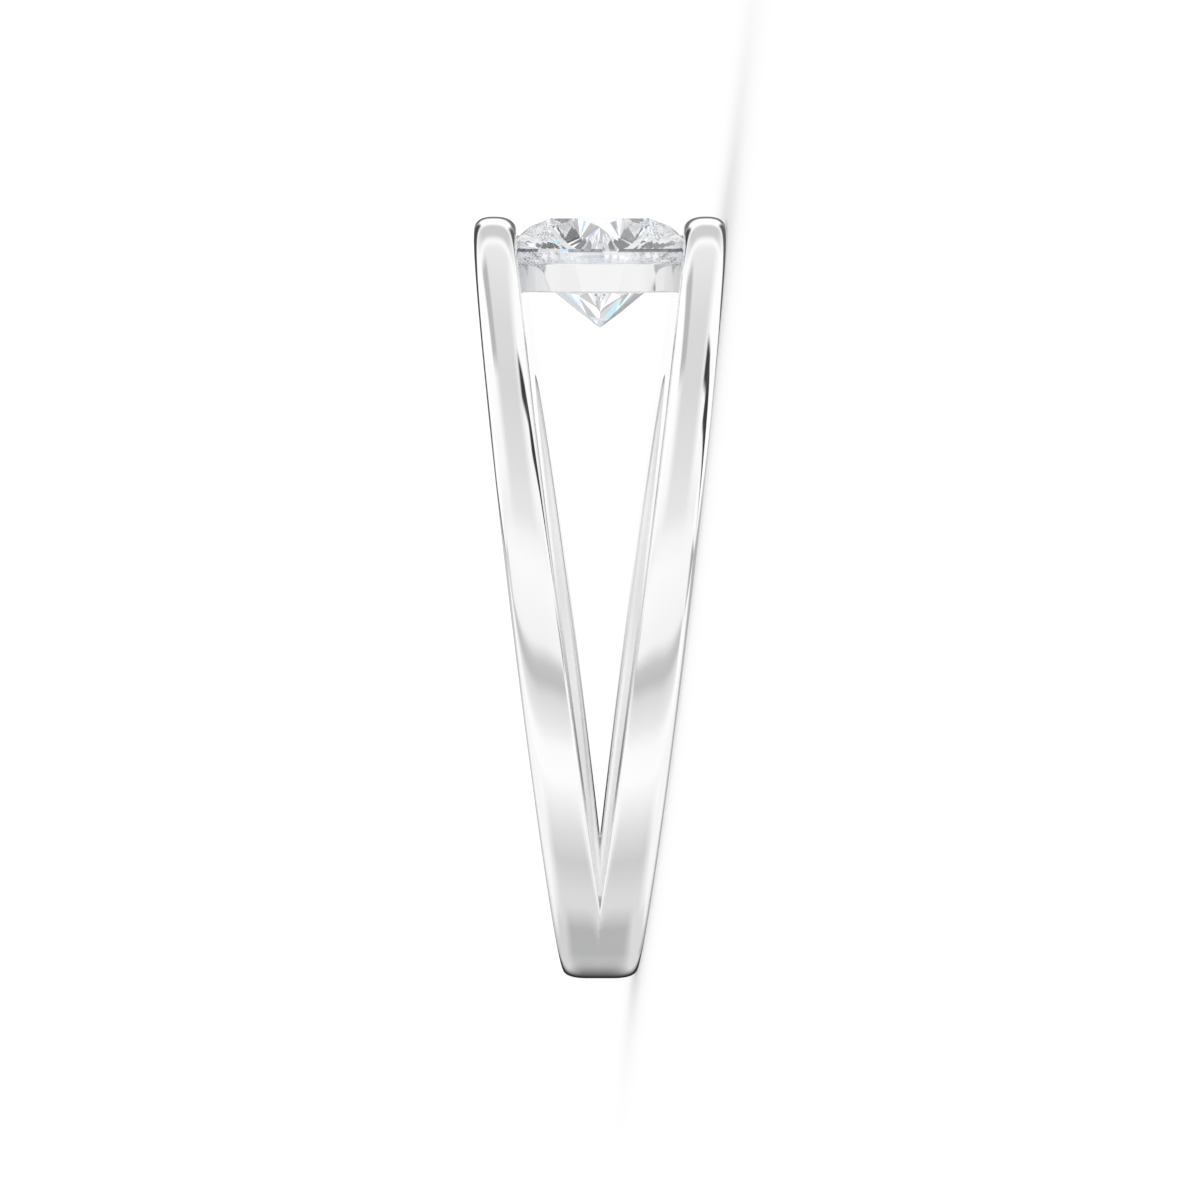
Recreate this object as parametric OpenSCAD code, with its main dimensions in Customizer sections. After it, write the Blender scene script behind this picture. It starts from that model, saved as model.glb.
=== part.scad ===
// Diamond engagement ring. A round brilliant is held between two flat bars, which
// leave one base and spread in a V. A plain collar under the stone ties the bars.
// It is drawn upright, stone on top, and then laid on the outer face of one bar.

/* [Stone] */
// Diameter at the girdle
stone_d = 5.72; // [5.4:0.02:6]
// Table width from corner to corner, as a share of the diameter
table_share = 0.556; // [0.53:0.002:0.6]
// Slope of the crown's main facets, in degrees
crown_angle = 34.8; // [32:0.2:36]
// Slope of the pavilion's main facets, in degrees
pavilion_angle = 38.8; // [38:0.2:41]
// Thickness of the girdle
girdle_t = 0.1; // [0.06:0.01:0.14]
// Reach of the star facets, from the table's edge to the girdle
star_share = 0.45; // [0.4:0.01:0.55]
// Reach of the lower facets, from the girdle to the culet
lower_share = 0.8; // [0.7:0.01:0.85]

/* [Shank] */
// Diameter of the finger hole
finger_d = 16.5; // [15:0.1:19]
// Metal under the finger at the base
base_t = 1.6; // [1.4:0.1:2]
// Height of the head above the finger hole
head_h = 4.85; // [4.6:0.05:5.2]
// Width of the base
base_w = 2.1; // [2:0.05:2.4]
// Width of a bar at its top
bar_top_w = 1.27; // [1.17:0.05:1.57]
// Height above the base at which the bars part
split_h = 3.12; // [2.72:0.05:3.52]
// Depth of the stone's groove in each bar
groove_depth = 0.44; // [0.3:0.02:0.5]
// Depth of the crown round the outside, from a bar's middle to its edges
rim_round = 0.42; // [0.3:0.02:0.46]
// Reach of the crown's curve from each edge
rim_reach = 0.8; // [0.7:0.02:0.86]
// Rounding of the edges round the finger
finger_round = 0.2; // [0.1:0.02:0.24]

/* [Collar] */
// Outer diameter of the collar
collar_d = 5.26; // [5.16:0.02:5.36]
// Opening of the collar
collar_bore = 3.9; // [3.7:0.05:4.1]
// Height of the collar
collar_h = 0.88; // [0.74:0.02:0.94]
// Drop from the girdle to the collar's upper edge
collar_drop = 0.37; // [0.36:0.01:0.47]
// Bevel of the collar's edges
collar_bevel = 0.05; // [0.03:0.01:0.08]

/* [Hidden] */
$fn = 128;

// How far the table lies below the tops of the bars
table_drop = 0.05;
// Clear gap between stone and metal
stone_gap = 0.04;
// Angle left between a rounding and the surface that it runs into
round_end = 20;
// How far the roundings' centres are shifted along the inner planes, so that they thin
// out towards the base: the outside's and the finger hole's
rim_ease = 0.19;
finger_ease = 0.08;
// Steps in a rounding
round_steps = 6;
// Sides of the girdle between two main facets
girdle_steps = 4;
// Extra length of what cuts through
over = 1;

// The stone: radii, and heights above the girdle's upper edge or below its lower one
stone_r = stone_d / 2;
table_r = table_share * stone_r;
table_flat = table_r * cos(22.5);
crown_h = (stone_r - table_r) * tan(crown_angle);
star_r = table_flat + star_share * (stone_r - table_flat);
star_h = crown_h - (star_r * cos(22.5) - table_r) * tan(crown_angle);
pavilion_h = stone_r * tan(pavilion_angle);
lower_h = lower_share * pavilion_h;
lower_r = (pavilion_h - lower_h) / (tan(pavilion_angle) * cos(22.5));

// The ring: heights above the base
ring_h = base_t + finger_d + head_h;
rim_r = ring_h / 2;
hole_z = base_t + finger_d / 2;
table_z = ring_h - table_drop;
girdle_z = table_z - crown_h - girdle_t / 2;
collar_top = girdle_z - collar_drop;

// Each bar lies between an inner and an outer plane: half widths at the base, and slopes
inner_slope = (stone_r - groove_depth) / (girdle_z - split_h);
inner_base = -split_h * inner_slope;
outer_base = base_w / 2;
outer_slope = (inner_base + ring_h * inner_slope + bar_top_w - outer_base) / ring_h;
inner_lean = atan(inner_slope);
outer_lean = atan(outer_slope);

// Distance from the outer face's foot to the middle of the laid ring
laid_mid = rim_r / cos(outer_lean);

// Half section of a thick disc, its face at depth 0 and that face's edge rounded by a
// quarter of an ellipse. Past it the side flares out and clears the rim that it trims.
function rounded_face(r, rounding, reach, depth) =
    let (
        flare = tan(round_end),
        turn = atan(rounding / (reach * flare)),
        inset = rounding * (1 - sin(turn)),
        arc = [for (i = [0:round_steps]) let (a = turn * i / round_steps)
            [r + inset - rounding * (1 - sin(a)), reach * (1 - cos(a))]],
        last = arc[round_steps]
    )
    concat([[0, 0]], arc,
        [[last[0] + (depth - last[1]) * flare, depth], [0, depth]]);

// Half section of the cutter that rounds the edge of a hole at a face at depth 0
function hole_rounding(r, rounding) =
    let (
        turn = 90 - round_end,
        inset = rounding * (1 - sin(turn)),
        arc = [for (i = [0:round_steps]) let (a = turn * i / round_steps)
            [r - inset + rounding * (1 - sin(a)), rounding * (1 - cos(a))]],
        last = arc[round_steps],
        deep = 4 * rounding
    )
    concat([[0, -over], [arc[0][0], -over]], arc,
        [[last[0] - (deep - last[1]) * tan(round_end), deep], [0, deep]]);

// Puts a half section's axis through a leaning plane at height z, depth running to -X
module on_plane(base, slope, z) {
    translate([base + z * slope, 0, z])
        rotate([0, -90 + atan(slope), 0])
            rotate_extrude() children();
}

// The outside of the ring, round about the finger's axis
module rim() {
    translate([0, 0, rim_r])
        rotate([0, 90, 0])
            cylinder(r = rim_r, h = ring_h, center = true);
}

module finger_hole() {
    translate([0, 0, hole_z])
        rotate([0, 90, 0])
            cylinder(d = finger_d, h = ring_h + over, center = true);
}

// The right-hand bar before the rim and the finger hole are cut: what lies between two
// leaning planes, its outside crowned and room made for the rounding of the hole's edges
module bar() {
    difference() {
        intersection() {
            on_plane(outer_base, outer_slope, rim_r)
                polygon(rounded_face(rim_r, rim_round, rim_reach, stone_d));
            mirror([1, 0, 0])
                on_plane(-inner_base, -inner_slope, rim_r - rim_ease)
                    polygon(rounded_face(rim_r + rim_ease, rim_round, rim_reach, stone_d));
        }
        on_plane(outer_base, outer_slope, hole_z)
            polygon(hole_rounding(finger_d / 2, finger_round));
        mirror([1, 0, 0])
            on_plane(-inner_base, -inner_slope, hole_z + finger_ease)
                polygon(hole_rounding(finger_d / 2 - finger_ease, finger_round));
    }
}

// Both bars with the base that they share, round outside and open for the finger
module pair_of_bars() {
    difference() {
        intersection() {
            union() {
                bar();
                mirror([1, 0, 0]) bar();
            }
            rim();
        }
        finger_hole();
    }
}

// A short tube with bevelled edges, which stands in the walls of both bars
module collar() {
    r = collar_d / 2;
    bore = collar_bore / 2;
    b = collar_bevel;
    low = collar_top - collar_h;
    rotate_extrude()
        polygon([[bore + b, low], [r - b, low], [r, low + b], [r, collar_top - b],
            [r - b, collar_top], [bore + b, collar_top], [bore, collar_top - b],
            [bore, low + b]]);
}

// The room for the stone: the grooves in the bars and the seat in the collar. Its upper
// side is as steep as the stone at its star facets' tips, so that it clears them too.
module stone_room() {
    r = stone_r + stone_gap;
    half = girdle_t / 2 + stone_gap;
    steep = star_h / (stone_r - star_r);
    translate([0, 0, girdle_z])
        rotate_extrude()
            polygon([[0, -half - r * tan(pavilion_angle)], [r, -half], [r, half],
                [0, half + r * steep]]);
}

module upright_shank() {
    difference() {
        union() {
            pair_of_bars();
            collar();
        }
        stone_room();
    }
}

// Round brilliant: rings of points from the table down to the culet, facets between
function ring_points(r, z, first) =
    [for (i = [0:7]) let (a = first + 45 * i) [r * cos(a), r * sin(a), z]];
girdle_n = 16 * girdle_steps;
function girdle_points(z) =
    [for (i = [0:girdle_n - 1]) let (a = 360 * i / girdle_n)
        [stone_r * cos(a), stone_r * sin(a), z]];

module upright_diamond() {
    top = girdle_t / 2;
    // Where each ring of points starts in the list
    table_i = 0;
    star_i = 8;
    upper_i = 16;
    lower_i = upper_i + girdle_n;
    low_i = lower_i + girdle_n;
    culet_i = low_i + 8;
    points = concat(
        ring_points(table_r, top + crown_h, 22.5),
        ring_points(star_r, top + star_h, 0),
        girdle_points(top),
        girdle_points(-top),
        ring_points(lower_r, -top - lower_h, 0),
        [[0, 0, -top - pavilion_h]]
    );
    s = girdle_steps;
    faces = concat(
        [[for (i = [7:-1:0]) table_i + i]],
        // Star facets, each with its tip pointing outward
        [for (i = [0:7]) [table_i + (i + 7) % 8, table_i + i, star_i + i]],
        // Main facets of the crown, kites between two stars
        [for (i = [0:7]) [table_i + i, star_i + (i + 1) % 8,
            upper_i + (2 * i + 1) * s, star_i + i]],
        // Upper girdle facets, a pair under each star
        [for (i = [0:7], j = [0:s - 1]) [star_i + i, upper_i + 2 * i * s + j + 1,
            upper_i + 2 * i * s + j]],
        [for (i = [0:7], j = [0:s - 1]) [star_i + i,
            upper_i + (2 * i * s - j + girdle_n) % girdle_n,
            upper_i + (2 * i * s - j - 1 + girdle_n) % girdle_n]],
        // The girdle
        [for (j = [0:girdle_n - 1]) [upper_i + j, upper_i + (j + 1) % girdle_n,
            lower_i + (j + 1) % girdle_n, lower_i + j]],
        // Lower girdle facets, a pair over each point of the lowest ring
        [for (i = [0:7], j = [0:s - 1]) [low_i + i, lower_i + 2 * i * s + j,
            lower_i + 2 * i * s + j + 1]],
        [for (i = [0:7], j = [0:s - 1]) [low_i + i,
            lower_i + (2 * i * s - j - 1 + girdle_n) % girdle_n,
            lower_i + (2 * i * s - j + girdle_n) % girdle_n]],
        // Main facets of the pavilion, which meet at the culet
        [for (i = [0:7]) [culet_i, low_i + i, lower_i + (2 * i + 1) * s,
            low_i + (i + 1) % 8]]
    );
    translate([0, 0, girdle_z])
        polyhedron(points, faces, convexity = 2);
}

// Lays the upright ring down: the outer face of the right-hand bar on the ground,
// the stone towards +X, and the origin under the middle of the whole
module laid() {
    translate([-laid_mid, 0, outer_base * cos(outer_lean)])
        rotate([0, 90 - outer_lean, 0])
            children();
}

module split_shank() {
    color("silver")
        laid()
            upright_shank();
}

module diamond() {
    color("azure")
        laid()
            upright_diamond();
}

split_shank();
diamond();
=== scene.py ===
# Diamond engagement ring: two flat bars that leave one base and spread in a V, with a
# round brilliant held between their tops and a plain collar under it. It lies on the
# outer face of one bar, and the camera is rolled with it, so the picture shows it upright.
import math

import bmesh
import bpy
from mathutils import Matrix, Vector


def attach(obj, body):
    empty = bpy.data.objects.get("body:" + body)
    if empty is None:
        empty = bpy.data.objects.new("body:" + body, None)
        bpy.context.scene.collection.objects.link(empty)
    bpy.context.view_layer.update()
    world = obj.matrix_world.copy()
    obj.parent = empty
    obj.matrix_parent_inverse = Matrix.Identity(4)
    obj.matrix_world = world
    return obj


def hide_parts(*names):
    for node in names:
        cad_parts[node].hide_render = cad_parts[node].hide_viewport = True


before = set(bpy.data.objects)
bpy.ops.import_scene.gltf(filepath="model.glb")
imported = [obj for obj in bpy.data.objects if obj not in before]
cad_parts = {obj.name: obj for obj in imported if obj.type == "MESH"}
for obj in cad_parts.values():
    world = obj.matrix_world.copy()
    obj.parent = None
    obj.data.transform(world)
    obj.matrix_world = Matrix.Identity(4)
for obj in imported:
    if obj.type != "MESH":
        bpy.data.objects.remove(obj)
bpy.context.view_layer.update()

# The bars and the base. Each bar is a flat ring of white gold between two leaning
# planes, round outside and bored for the finger, and both run into one base. They are
# made upright in millimetres, with the stone on top, and then laid down.
BASE_T = 1.6
BASE_W = 2.1
HEAD_H = 4.85
BAR_TOP_W = 1.27
HOLE_R = 8.25
HOLE_Z = BASE_T + HOLE_R
RING_H = BASE_T + 2 * HOLE_R + HEAD_H
RIM_R = RING_H / 2
# The bars part at one height. At the girdle, each inner wall stands in from the stone's
# edge by the groove's depth.
SPLIT_H = 3.12
GIRDLE_Z = 21.967
STONE_R = 2.86
GROOVE_DEPTH = 0.44
INNER_SLOPE = (STONE_R - GROOVE_DEPTH) / (GIRDLE_Z - SPLIT_H)
INNER_FOOT = -SPLIT_H * INNER_SLOPE
OUTER_FOOT = BASE_W / 2
OUTER_SLOPE = (INNER_FOOT + RING_H * INNER_SLOPE + BAR_TOP_W - OUTER_FOOT) / RING_H
CROWN_DROP, CROWN_POWER, CROWN_STEPS = 0.46, 2.5, 28
# How the crown of a bar's outer half thins out: its share at the ring's top, and the height
# that it is drawn towards, in ring radii.
OUTER_THINNING, OUTER_CENTRE = 0.805, 0.757
FINGER_ROUND = 0.2
RING_SIDES = 512
# How near a point has to lie to count as on a plane or circle, how near two points are made
# one, and how near the middle plane the cut takes a point as on it.
NEAR = 0.001
MERGE = 0.0002
FINE = 0.00001

LEAN = math.atan(OUTER_SLOPE)
LAID_MID = RIM_R / math.cos(LEAN)
TURN = Matrix.Rotation(math.pi / 2 - LEAN, 3, "Y")
UP = TURN @ Vector((0, 0, 1))
FRONT = TURN @ Vector((0, -1, 0))
SIDE = TURN @ Vector((1, 0, 0))
LAID = (Matrix.Scale(0.001, 4)
        @ Matrix.Translation((-LAID_MID, 0, OUTER_FOOT * math.cos(LEAN)))
        @ Matrix.Rotation(math.pi / 2 - LEAN, 4, "Y"))


def select_edges(mesh, wanted):
    """Selects the edges whose both ends pass the test, in edit mode."""
    bpy.ops.mesh.select_all(action="DESELECT")
    bpy.ops.mesh.select_mode(type="EDGE")
    shape = bmesh.from_edit_mesh(mesh)
    for edge in shape.edges:
        edge.select_set(all(wanted(v.co) for v in edge.verts))
    bmesh.update_edit_mesh(mesh)


def apply_modifiers(piece):
    """Applies every modifier of the piece, in order."""
    for modifier in list(piece.modifiers):
        bpy.ops.object.modifier_apply(modifier=modifier.name)


def start_piece(piece, name):
    """Names a new piece and takes its place, turn and size into its mesh."""
    piece.name = name
    piece.data.name = name
    bpy.ops.object.transform_apply(location=True, rotation=True, scale=True)


def lay_down(piece):
    """Lays an upright piece in millimetres onto the bar that the ring lies on, in metres."""
    bpy.ops.object.select_all(action="DESELECT")
    piece.select_set(True)
    bpy.context.view_layer.objects.active = piece
    piece.matrix_world = LAID
    bpy.ops.object.transform_apply(location=True, rotation=True, scale=True)


def off_plane(point, foot, slope):
    """Distance of a point, along X, from a leaning plane."""
    return point.x - foot - slope * point.z


def off_finger(point):
    """Distance of a point from the finger's axis."""
    return math.hypot(point.y, point.z - HOLE_Z)


def crown_at(step):
    """Where a step of the crown lies across the bar, from 0 inside to 1 outside, and its drop."""
    angle = math.pi * step / CROWN_STEPS
    across = math.copysign(abs(math.cos(angle)) ** (2 / CROWN_POWER), math.cos(angle))
    return (1 - across) / 2, CROWN_DROP * (1 - abs(math.sin(angle)) ** (2 / CROWN_POWER))


bpy.ops.object.select_all(action="DESELECT")
bpy.ops.mesh.primitive_circle_add(vertices=RING_SIDES, radius=RIM_R,
                                  location=(0, 0, RIM_R), rotation=(0, math.pi / 2, 0))
shank = bpy.context.active_object
start_piece(shank, "split_shank_bars")
bpy.ops.object.mode_set(mode="EDIT")
bpy.ops.mesh.select_all(action="SELECT")
# The rim's circle drawn in to the finger hole's, then that flat ring drawn out step by
# step to a bar, a millimetre a step until each step is set on its own leaning plane.
bpy.ops.mesh.extrude_region_move(
    TRANSFORM_OT_translate={"value": (0, 0, HOLE_Z - RIM_R)})
bpy.ops.transform.resize(value=(1, HOLE_R / RIM_R, HOLE_R / RIM_R),
                         center_override=(0, 0, HOLE_Z))
bpy.ops.mesh.select_all(action="SELECT")
for step in range(CROWN_STEPS):
    bpy.ops.mesh.extrude_region_move(TRANSFORM_OT_translate={"value": (1, 0, 0)})
# The wall round the finger is made one band again, so that its edges round off cleanly.
for step in range(1, CROWN_STEPS):
    select_edges(shank.data,
                 lambda co: abs(co.x - step) < NEAR and off_finger(co) < HOLE_R + NEAR)
    bpy.ops.mesh.dissolve_edges()
# Each step is set on its plane and moved well away from the steps that are still to come.
AWAY = 100
for step in range(CROWN_STEPS + 1):
    share, drop = crown_at(step)
    select_edges(shank.data,
                 lambda co: abs(co.x - step) < NEAR and off_finger(co) > HOLE_R + NEAR)
    # Towards the base the crown thins out, on the inner side of the bar to nothing.
    if share < 0.5:
        size, centre = 1 - drop / (2 * RIM_R), 0
    else:
        size, centre = 1 - OUTER_THINNING * drop / RIM_R, OUTER_CENTRE * RIM_R
    bpy.ops.transform.resize(value=(1, size, size), center_override=(step, 0, centre))
    foot = INNER_FOOT + share * (OUTER_FOOT - INNER_FOOT)
    slope = INNER_SLOPE + share * (OUTER_SLOPE - INNER_SLOPE)
    select_edges(shank.data, lambda co: abs(co.x - step) < NEAR)
    bpy.ops.transform.resize(value=(1, 1, math.hypot(1, slope)),
                             center_override=(step, 0, 0))
    bpy.ops.transform.rotate(value=-math.atan(slope), orient_axis="Y",
                             center_override=(step, 0, 0))
    bpy.ops.transform.translate(value=(foot - step - AWAY, 0, 0))
bpy.ops.mesh.select_all(action="SELECT")
bpy.ops.transform.translate(value=(AWAY, 0, 0))
for foot, slope in ((OUTER_FOOT, OUTER_SLOPE), (INNER_FOOT, INNER_SLOPE)):
    select_edges(shank.data, lambda co: abs(off_plane(co, foot, slope)) < NEAR
                 and abs(off_finger(co) - HOLE_R) < NEAR)
    bpy.ops.mesh.bevel(offset=FINGER_ROUND, segments=5, profile=0.5, affect="EDGES")
# What lies past the ring's middle goes, and the other half is its mirror image.
bpy.ops.mesh.select_all(action="SELECT")
bpy.ops.mesh.bisect(plane_co=(0, 0, 0), plane_no=(1, 0, 0), clear_inner=True,
                    threshold=FINE)
bpy.ops.mesh.select_all(action="SELECT")
bpy.ops.mesh.normals_make_consistent(inside=False)
bpy.ops.object.mode_set(mode="OBJECT")
halves = shank.modifiers.new("other half", "MIRROR")
halves.use_axis = (True, False, False)
halves.use_mirror_merge = True
halves.merge_threshold = NEAR / 2
apply_modifiers(shank)

# The collar: a short plain tube with bevelled edges, soldered between the bars under the
# stone, its sides standing in their walls.
COLLAR_R = 2.63
BORE_R = 1.95
COLLAR_H = 0.88
COLLAR_DROP = 0.37
COLLAR_TOP = GIRDLE_Z - COLLAR_DROP
COLLAR_BEVEL = 0.05
FINE_SIDES = 160

bpy.ops.object.select_all(action="DESELECT")
bpy.ops.mesh.primitive_cylinder_add(vertices=FINE_SIDES, radius=COLLAR_R, depth=COLLAR_H,
                                    end_fill_type="NOTHING",
                                    location=(0, 0, COLLAR_TOP - COLLAR_H / 2))
collar = bpy.context.active_object
start_piece(collar, "collar")
wall = collar.modifiers.new("wall", "SOLIDIFY")
wall.thickness = COLLAR_R - BORE_R
wall.offset = -1
wall.use_even_offset = True
edges = collar.modifiers.new("edges", "BEVEL")
edges.width = COLLAR_BEVEL
edges.segments = 3
edges.limit_method = "ANGLE"
edges.angle_limit = math.radians(60)
apply_modifiers(collar)

# The room for the stone: a double cone that cuts the groove in each bar's wall and the
# sloping seat inside the collar, with a hair's gap all round the stone.
STONE_GAP = 0.04
GIRDLE_HALF = 0.05
CROWN_SLOPE = 0.8399
PAVILION_SLOPE = math.tan(math.radians(38.8))

bpy.ops.object.select_all(action="DESELECT")
bpy.ops.mesh.primitive_cylinder_add(vertices=FINE_SIDES, radius=STONE_R + STONE_GAP,
                                    depth=2 * (GIRDLE_HALF + STONE_GAP),
                                    location=(0, 0, GIRDLE_Z))
room = bpy.context.active_object
start_piece(room, "stone_room")
bpy.ops.object.mode_set(mode="EDIT")
for side, slope in ((1, CROWN_SLOPE), (-1, PAVILION_SLOPE)):
    bpy.ops.mesh.select_all(action="DESELECT")
    bpy.ops.mesh.select_mode(type="FACE")
    faces = bmesh.from_edit_mesh(room.data)
    for face in faces.faces:
        face.select_set(face.normal.z * side > 0.9)
    bmesh.update_edit_mesh(room.data)
    bpy.ops.mesh.poke(offset=(STONE_R + STONE_GAP) * slope)
bpy.ops.object.mode_set(mode="OBJECT")

# The metal in one piece: the collar soldered in, the stone's room cut, flat faces flat and
# round ones smooth.
bpy.ops.object.select_all(action="DESELECT")
shank.select_set(True)
bpy.context.view_layer.objects.active = shank
for step, other in (("UNION", collar), ("DIFFERENCE", room)):
    joint = shank.modifiers.new(step.lower(), "BOOLEAN")
    joint.operation = step
    joint.solver = "EXACT"
    joint.object = other
apply_modifiers(shank)
for spent in (collar, room):
    bpy.data.objects.remove(spent, do_unlink=True)
shank.name = "split_shank_metal"
bpy.ops.object.mode_set(mode="EDIT")
bpy.ops.mesh.select_all(action="SELECT")
bpy.ops.mesh.remove_doubles(threshold=MERGE)
bpy.ops.mesh.dissolve_degenerate(threshold=MERGE)
bpy.ops.object.mode_set(mode="OBJECT")
bpy.ops.object.shade_smooth_by_angle(angle=math.radians(32))
even = shank.modifiers.new("flat faces stay flat", "WEIGHTED_NORMAL")
even.keep_sharp = True
even.weight = 100
apply_modifiers(shank)
lay_down(shank)

# White gold, rhodium plated and polished: a near white mirror with the faintest
# wave and wiping marks of the buff.
gold = bpy.data.materials.new("polished_white_gold")
gold.use_nodes = True
nodes, links = gold.node_tree.nodes, gold.node_tree.links
skin = nodes["Principled BSDF"]
skin.inputs["Metallic"].default_value = 1.0
place = nodes.new("ShaderNodeTexCoord")
tint = nodes.new("ShaderNodeTexNoise")
tint.inputs["Scale"].default_value = 260.0
tint.inputs["Detail"].default_value = 3.0
shades = nodes.new("ShaderNodeValToRGB")
shades.color_ramp.elements[0].position = 0.35
shades.color_ramp.elements[0].color = (0.900, 0.902, 0.908, 1)
shades.color_ramp.elements[1].position = 0.65
shades.color_ramp.elements[1].color = (0.930, 0.929, 0.928, 1)
buff = nodes.new("ShaderNodeTexNoise")
buff.inputs["Scale"].default_value = 2500.0
buff.inputs["Detail"].default_value = 4.0
gloss = nodes.new("ShaderNodeMapRange")
gloss.inputs["To Min"].default_value = 0.045
gloss.inputs["To Max"].default_value = 0.085
wave = nodes.new("ShaderNodeBump")
wave.inputs["Strength"].default_value = 0.02
wave.inputs["Distance"].default_value = 0.00001
links.new(place.outputs["Object"], tint.inputs["Vector"])
links.new(tint.outputs["Fac"], shades.inputs["Fac"])
links.new(place.outputs["Object"], buff.inputs["Vector"])
links.new(buff.outputs["Fac"], gloss.inputs["Value"])
links.new(buff.outputs["Fac"], wave.inputs["Height"])
links.new(wave.outputs["Normal"], skin.inputs["Normal"])
# The wall round the finger is left satin, which makes it matt. Its colour is also lifted towards
# white, a painted brightening that stands in for light. It is found by its distance from the
# finger's axis.
SATIN_ROUGHNESS = 0.42
from_axis = nodes.new("ShaderNodeVectorMath")
from_axis.operation = "SUBTRACT"
from_axis.inputs[1].default_value = LAID @ Vector((0, 0, HOLE_Z))
links.new(place.outputs["Object"], from_axis.inputs[0])
aside = nodes.new("ShaderNodeVectorMath")
aside.operation = "CROSS_PRODUCT"
aside.inputs[1].default_value = SIDE
links.new(from_axis.outputs["Vector"], aside.inputs[0])
distance = nodes.new("ShaderNodeVectorMath")
distance.operation = "LENGTH"
links.new(aside.outputs["Vector"], distance.inputs[0])
satin_and_painted_light = nodes.new("ShaderNodeMapRange")
satin_and_painted_light.inputs["From Min"].default_value = 0.001 * (HOLE_R + 0.01)
satin_and_painted_light.inputs["From Max"].default_value = 0.001 * (HOLE_R + 0.15)
satin_and_painted_light.inputs["To Min"].default_value = 1.0
satin_and_painted_light.inputs["To Max"].default_value = 0.0
links.new(distance.outputs["Value"], satin_and_painted_light.inputs["Value"])
roughness = nodes.new("ShaderNodeMath")
roughness.operation = "MULTIPLY_ADD"
roughness.inputs[1].default_value = SATIN_ROUGHNESS
links.new(satin_and_painted_light.outputs["Result"], roughness.inputs[0])
links.new(gloss.outputs["Result"], roughness.inputs[2])
links.new(roughness.outputs["Value"], skin.inputs["Roughness"])
# Painted light: the bore's colour is mixed towards white so that it reads brighter, not the
# metal's own colour.
painted_brightening = nodes.new("ShaderNodeMix")
painted_brightening.data_type = "RGBA"
painted_brightening.inputs["B"].default_value = (0.985, 0.985, 0.985, 1)
links.new(satin_and_painted_light.outputs["Result"], painted_brightening.inputs["Factor"])
links.new(shades.outputs["Color"], painted_brightening.inputs["A"])
links.new(painted_brightening.outputs["Result"], skin.inputs["Base Color"])
shank.data.materials.clear()
shank.data.materials.append(gold)
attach(shank, "root")
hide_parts("split_shank")

# The diamond: a clear round brilliant. Its girdle is left finely ground, and the
# polished facets are water clear with a trace of blue.
WATER_CLEAR = (0.985, 0.992, 1.0, 1)
SHARD_GREY = (0.10, 0.11, 0.13, 1)
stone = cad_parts["diamond"]
clear = bpy.data.materials.new("cut_diamond")
clear.use_nodes = True
nodes, links = clear.node_tree.nodes, clear.node_tree.links
skin = nodes["Principled BSDF"]
skin.inputs["Transmission Weight"].default_value = 1.0
skin.inputs["IOR"].default_value = 2.417
skin.inputs["Specular IOR Level"].default_value = 0.0
skin.inputs["Base Color"].default_value = WATER_CLEAR
# Only the thin band of the girdle is ground: it is found by its height along the stone.
place = nodes.new("ShaderNodeTexCoord")
height = nodes.new("ShaderNodeVectorMath")
height.operation = "DOT_PRODUCT"
height.inputs[1].default_value = UP
links.new(place.outputs["Object"], height.inputs[0])
band = nodes.new("ShaderNodeMath")
band.operation = "COMPARE"
band.inputs[1].default_value = UP.dot(LAID @ Vector((0, 0, GIRDLE_Z)))
band.inputs[2].default_value = 0.001 * (GIRDLE_HALF + 0.0001)
links.new(height.outputs["Value"], band.inputs[0])
ground = nodes.new("ShaderNodeMapRange")
ground.inputs["To Min"].default_value = 0.0
ground.inputs["To Max"].default_value = 0.06
links.new(band.outputs["Value"], ground.inputs["Value"])
links.new(ground.outputs["Result"], skin.inputs["Roughness"])
# Grinding leaves the band in small flats, some clear and some grey.
flats = nodes.new("ShaderNodeTexVoronoi")
flats.inputs["Scale"].default_value = 1300.0
links.new(place.outputs["Object"], flats.inputs["Vector"])
lot = nodes.new("ShaderNodeSeparateColor")
links.new(flats.outputs["Color"], lot.inputs["Color"])
shards = nodes.new("ShaderNodeValToRGB")
shards.color_ramp.interpolation = "CONSTANT"
shards.color_ramp.elements[0].color = SHARD_GREY
shards.color_ramp.elements[1].position = 0.48
shards.color_ramp.elements[1].color = WATER_CLEAR
links.new(lot.outputs["Red"], shards.inputs["Fac"])
body_colour = nodes.new("ShaderNodeMix")
body_colour.data_type = "RGBA"
body_colour.inputs["A"].default_value = WATER_CLEAR
links.new(band.outputs["Value"], body_colour.inputs["Factor"])
links.new(shards.outputs["Color"], body_colour.inputs["B"])
links.new(body_colour.outputs["Result"], skin.inputs["Base Color"])
for holder in stone.material_slots:
    holder.material = clear

# The floor: a wide pale sheet that the ring lies on. Polished metal and the stone don't
# show it.
bpy.ops.object.select_all(action="DESELECT")
bpy.ops.mesh.primitive_plane_add(size=4.0, location=(0, 0, 0))
floor = bpy.context.active_object
floor.name = "floor"
paper = bpy.data.materials.new("pale_paper")
paper.use_nodes = True
sheet = paper.node_tree.nodes["Principled BSDF"]
sheet.inputs["Base Color"].default_value = (0.93, 0.93, 0.93, 1)
sheet.inputs["Roughness"].default_value = 1.0
sheet.inputs["Specular IOR Level"].default_value = 0.0
floor.data.materials.append(paper)
floor.visible_glossy = False
floor.visible_transmission = False

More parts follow.
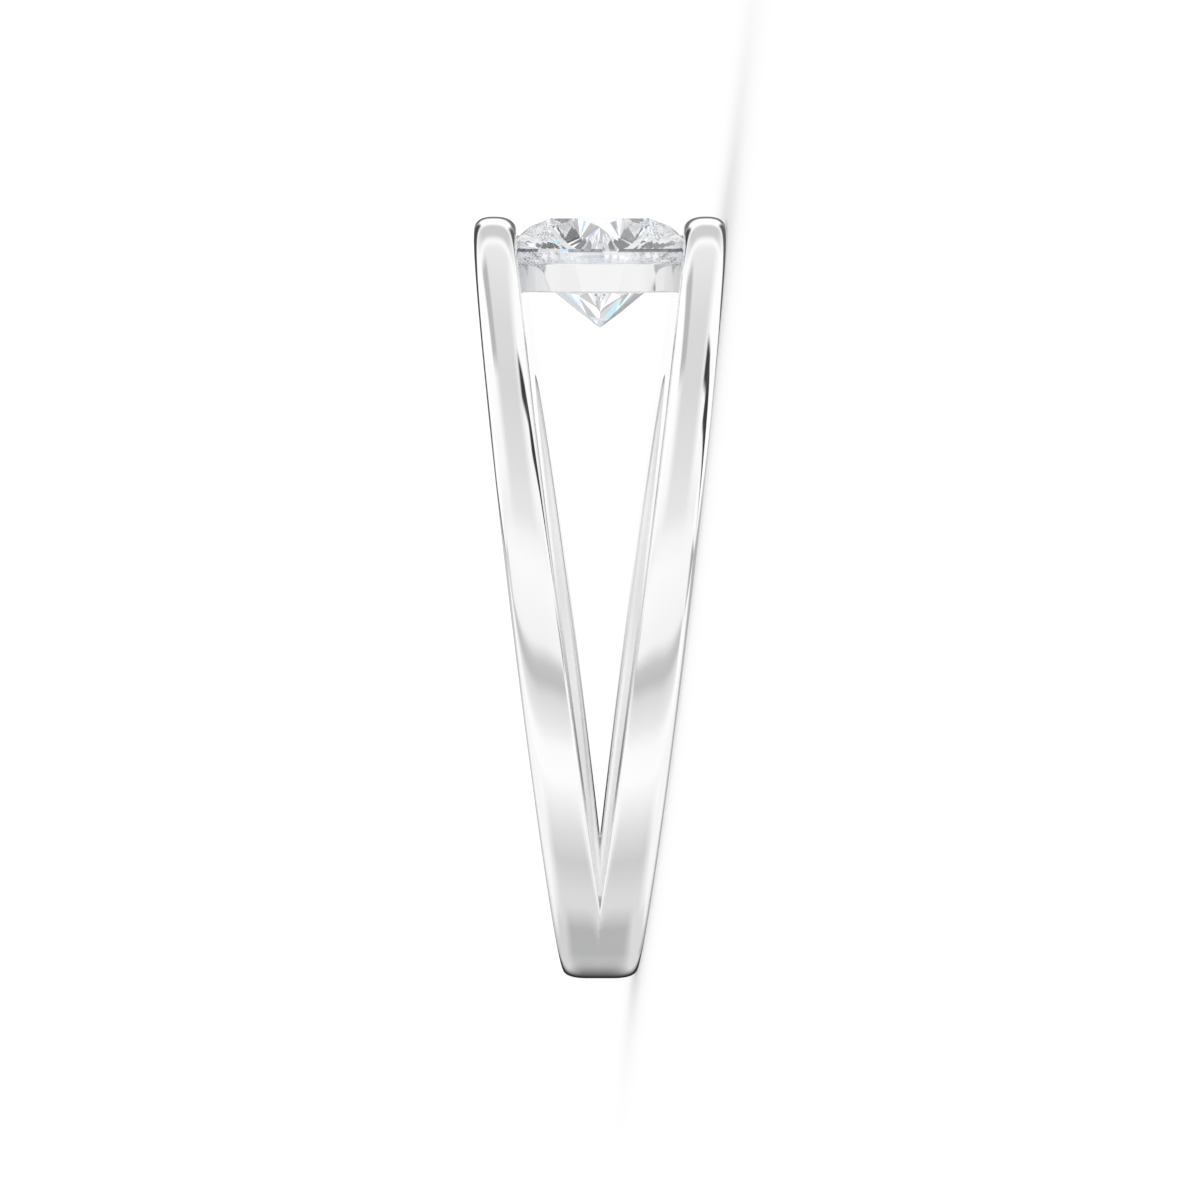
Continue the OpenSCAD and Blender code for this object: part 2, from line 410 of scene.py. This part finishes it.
# The light: a soft white tent all round, a little greyer in some bands, which the
# polished rims mirror. Its bands are counted in degrees round the finger's axis, from
# straight back over the base, the front and the stone to straight back again.
BANDS = ((-180, 1.02), (-176, 1.02), (-173, 0.03), (-160, 0.03), (-150, 0.24), (-142, 0.46),
         (-133, 0.62), (-128, 0.74), (-115, 0.78), (-94, 0.76), (-80, 0.66), (-68, 0.80),
         (-50, 1.08), (-40, 1.06), (-33, 0.90), (-24, 0.76), (-19, 0.56), (-14, 0.62),
         (-8, 0.98), (14, 1.04), (22, 1.0), (30, 0.86), (44, 0.80), (70, 0.74), (95, 0.76),
         (120, 0.84), (134, 0.88), (140, 1.08), (145, 0.66), (155, 0.64), (158, 1.08),
         (167, 1.08))
# Sideways, the tent turns white towards both flanks, save level with the ring's middle.
FLANK_SHADE = 1.08
FLANKS = ((0.0, 0.0), (0.20, 0.0), (0.46, 1.0), (1.0, 1.0))
FLANK_BANDS = ((-180, 0.8), (-152, 0.8), (-140, 0.6), (-130, 0.6), (-112, 0.8), (-62, 0.8),
               (-46, 0.0), (12, 0.0), (44, 0.8), (80, 1.0), (180, 1.0))
# Soft cards hung in it: from and to round the finger, from and to sideways, how soft they
# are, in degrees and sideways, and their shade. A later one hides what it overlaps.
CARDS = ((84, 124, -0.40, -0.24, 10, 0.06, 0.52),
         (74, 88, 0.42, 0.60, 5, 0.08, 0.05),
         (62, 86, 0.64, 0.97, 4, 0.06, 0.05),
         (-150, -116, 0.10, 0.34, 10, 0.10, 0.76),
         (-150, -116, -0.30, -0.11, 10, 0.10, 0.70),
         (-130, -112, -0.07, 0.03, 12, 0.10, 0.50),
         (-60, 40, 0.84, 1.0, 12, 0.08, 1.08),
         (-14, 16, 0.95, 1.4, 8, 0.12, 0.40),
         (-14, 16, -1.4, -0.96, 8, 0.08, 0.70),
         (170, 178, -0.14, 0.14, 2, 0.04, 0.18),
         (162, 178, -0.85, -0.18, 4, 0.04, 0.07),
         (162, 178, 0.18, 0.62, 4, 0.04, 0.12),
         (-178, -146, -1.0, -0.30, 4, 0.06, 0.62),
         (-178, -146, 0.30, 1.0, 4, 0.06, 0.50),
         (176, 190, -1.0, -0.55, 2, 0.08, 0.16),
         (-190, -176, -1.0, -0.55, 2, 0.08, 0.16))
world = bpy.data.worlds.new("light_tent")
bpy.context.scene.world = world
world.use_nodes = True
nodes, links = world.node_tree.nodes, world.node_tree.links
tent = nodes["Background"]
where = nodes.new("ShaderNodeTexCoord")
path = nodes.new("ShaderNodeLightPath")


def along(direction):
    """How far the looked-at direction points along another one, from -1 to 1."""
    dot = nodes.new("ShaderNodeVectorMath")
    dot.operation = "DOT_PRODUCT"
    dot.inputs[1].default_value = direction
    links.new(where.outputs["Generated"], dot.inputs[0])
    return dot.outputs["Value"]


def counted(operation, *values):
    """A Math node on numbers or on other nodes' values."""
    node = nodes.new("ShaderNodeMath")
    node.operation = operation
    for socket, value in zip(node.inputs, values):
        if isinstance(value, (int, float)):
            socket.default_value = value
        else:
            links.new(value, socket)
    return node.outputs["Value"]


def degrees(value):
    """An angle turned from radians to degrees."""
    return counted("MULTIPLY", value, 180 / math.pi)


def graded(value, low, high, stops):
    """A ramp of greys over a value that runs from low to high."""
    share = nodes.new("ShaderNodeMapRange")
    share.inputs["From Min"].default_value = low
    share.inputs["From Max"].default_value = high
    links.new(value, share.inputs["Value"])
    ramp = nodes.new("ShaderNodeValToRGB")
    while len(ramp.color_ramp.elements) < len(stops):
        ramp.color_ramp.elements.new(0.5)
    for element, (position, shade) in zip(ramp.color_ramp.elements, stops):
        element.position = (position - low) / (high - low)
        element.color = (shade, shade, shade, 1)
    links.new(share.outputs["Result"], ramp.inputs["Fac"])
    return ramp.outputs["Color"]


def between(value, reach, low, high, soft):
    """1 where a value lies between low and high, and 0 past their soft edges."""
    return graded(value, -reach, reach,
                  ((low - soft, 0), (low, 1), (high, 1), (high + soft, 0)))


def toned(light, share, shade):
    """The light, turned to another shade by a share from 0 to 1."""
    return counted("ADD", counted("MULTIPLY", light, counted("SUBTRACT", 1, share)),
                   counted("MULTIPLY", share, shade))


up, front, side = along(UP), along(FRONT), along(SIDE)
round_finger = degrees(counted("ARCTAN2", up, front))
flank = counted("MULTIPLY", graded(counted("ABSOLUTE", side), 0, 1, FLANKS),
                graded(round_finger, -180, 180, FLANK_BANDS))
lit = toned(graded(round_finger, -180, 180, BANDS), flank, FLANK_SHADE)
for low, high, left, right, soft, fringe, shade in CARDS:
    card = counted("MULTIPLY", between(round_finger, 200, low, high, soft),
                   between(side, 1.5, left, right, fringe))
    lit = toned(lit, card, shade)
# Metal that is seen in metal gets a little more light.
mirrored_on = counted("GREATER_THAN", path.outputs["Glossy Depth"], 1.5)
lit = toned(lit, counted("MULTIPLY", mirrored_on, 0.25), 1.1)
links.new(lit, tent.inputs["Color"])
tent.inputs["Strength"].default_value = 1.0
# Behind the ring and on the floor, the light is an even white.
backdrop = nodes.new("ShaderNodeBackground")
backdrop.inputs["Strength"].default_value = 1.12
backdrop.inputs["Color"].default_value = (1, 1, 1, 1)
plain = counted("MAXIMUM", path.outputs["Is Camera Ray"], path.outputs["Is Diffuse Ray"])

# What the stone gathers is a bright room with large cards, dark ones at its sides and
# grey ones behind: from and to round the stone from its front, from and to in height,
# in degrees, and their shade. Small patches in it bring the glints and the fire.
STONE_CARDS = ((74, 112, 36, 66, 0.0), (-112, -70, 34, 66, 0.0), (40, 62, 1, 17, 0.02),
               (42, 58, 17, 40, 0.14), (-62, -40, 4, 15, 0.04), (-60, -42, 15, 40, 0.12),
               (164, 182, 1, 20, 0.34), (-182, -164, -20, 0, 0.30), (-178, -164, 0, 20, 0.75),
               (160, 178, -34, -20, 0.36), (-140, -120, -2, 20, 0.24), (-142, -120, 20, 40, 0.05),
               (-160, -142, 0, 22, 0.38), (118, 152, -4, 20, 0.58), (118, 152, 20, 40, 0.30),
               (120, 142, -60, -40, 0.20), (-150, -130, -60, -40, 0.06), (-14, 16, -2, 20, 0.34),
               (-24, 24, 44, 56, 0.46), (128, 184, 42, 70, 1.8), (-184, -124, 42, 70, 1.8),
               (66, 82, -14, 4, 0.08), (-80, -64, -12, 6, 0.10))
CARD_SOFT = 2
GLINT_FINENESS = 2.2
GLINTS = ((0.0, (0.04, 0.05, 0.07)), (0.14, (0.50, 0.53, 0.60)), (0.24, (1.06, 1.06, 1.06)))
FIRE_FINENESS = 13.0
FIRE = ((0.0, (1.0, 1.0, 1.0)), (0.86, (0.35, 0.62, 1.0)), (0.92, (0.45, 0.9, 1.0)),
        (0.96, (0.62, 0.55, 1.0)))


def patched(fineness, stops):
    """Patches of even colour over the directions, drawn from the stops by lot."""
    cells = nodes.new("ShaderNodeTexVoronoi")
    cells.inputs["Scale"].default_value = fineness
    links.new(where.outputs["Generated"], cells.inputs["Vector"])
    lot = nodes.new("ShaderNodeSeparateColor")
    links.new(cells.outputs["Color"], lot.inputs["Color"])
    ramp = nodes.new("ShaderNodeValToRGB")
    ramp.color_ramp.interpolation = "CONSTANT"
    while len(ramp.color_ramp.elements) < len(stops):
        ramp.color_ramp.elements.new(0.5)
    for element, (position, colour) in zip(ramp.color_ramp.elements, stops):
        element.position = position
        element.color = (*colour, 1)
    links.new(lot.outputs["Red"], ramp.inputs["Fac"])
    return ramp.outputs["Color"]


def multiplied(colour, other):
    """Two colours multiplied."""
    mix = nodes.new("ShaderNodeMix")
    mix.data_type = "RGBA"
    mix.blend_type = "MULTIPLY"
    mix.inputs["Factor"].default_value = 1.0
    links.new(colour, mix.inputs["A"])
    links.new(other, mix.inputs["B"])
    return mix.outputs["Result"]


bearing = degrees(counted("ARCTAN2", side, front))
height = degrees(counted("ARCSINE", up))
room_light = 1
for left, right, low, high, shade in STONE_CARDS:
    card = counted("MULTIPLY", between(bearing, 200, left, right, CARD_SOFT),
                   between(height, 100, low, high, CARD_SOFT))
    room_light = toned(room_light, card, shade)
fire = multiplied(patched(GLINT_FINENESS, GLINTS), patched(FIRE_FINENESS, FIRE))
# Light that has gone to and fro in the stone more than twice comes from an even grey, as
# its many tiny pictures of the room would only look like grain.
calm = nodes.new("ShaderNodeMix")
calm.data_type = "RGBA"
calm.inputs["B"].default_value = (0.76, 0.76, 0.77, 1)
links.new(counted("GREATER_THAN", path.outputs["Glossy Depth"], 2.5), calm.inputs["Factor"])
links.new(multiplied(fire, room_light), calm.inputs["A"])
sparkle = nodes.new("ShaderNodeBackground")
sparkle.inputs["Strength"].default_value = 1.25
links.new(calm.outputs["Result"], sparkle.inputs["Color"])
inside = nodes.new("ShaderNodeMixShader")
links.new(counted("GREATER_THAN", path.outputs["Transmission Depth"], 0.5), inside.inputs["Fac"])
links.new(tent.outputs["Background"], inside.inputs[1])
links.new(sparkle.outputs["Background"], inside.inputs[2])
either = nodes.new("ShaderNodeMixShader")
links.new(plain, either.inputs["Fac"])
links.new(inside.outputs["Shader"], either.inputs[1])
links.new(backdrop.outputs["Background"], either.inputs[2])
links.new(either.outputs["Shader"], nodes["World Output"].inputs["Surface"])

# The camera: level with the stone's end of the ring, 144 mm away, pitched down 5 degrees
# and rolled with the ring.
CAMERA_AWAY, CAMERA_UP, CAMERA_PITCH = 144.12, 23.885, math.radians(4.952)
SENSOR = 36.0
FOCAL_PX, PICTURE_PX = 4786.4, 1200
eye = bpy.data.cameras.new("camera")
eye.sensor_width = SENSOR
eye.lens = SENSOR * FOCAL_PX / PICTURE_PX
eye.clip_start = 0.001
eye.clip_end = 20
camera = bpy.data.objects.new("camera", eye)
bpy.context.scene.collection.objects.link(camera)
look = Matrix.Rotation(math.pi / 2 - CAMERA_PITCH, 3, "X")
camera.matrix_world = (Matrix.Translation(LAID @ Vector((0, -CAMERA_AWAY, CAMERA_UP)))
                       @ (TURN @ look).to_4x4())
bpy.context.scene.camera = camera
bpy.context.scene.view_settings.view_transform = "Standard"
bpy.context.scene.view_settings.look = "None"
# Light is followed through many mirrorings, as it is lost in the narrow V otherwise.
bpy.context.scene.cycles.max_bounces = 80
bpy.context.scene.cycles.glossy_bounces = 48
bpy.context.scene.cycles.transmission_bounces = 48
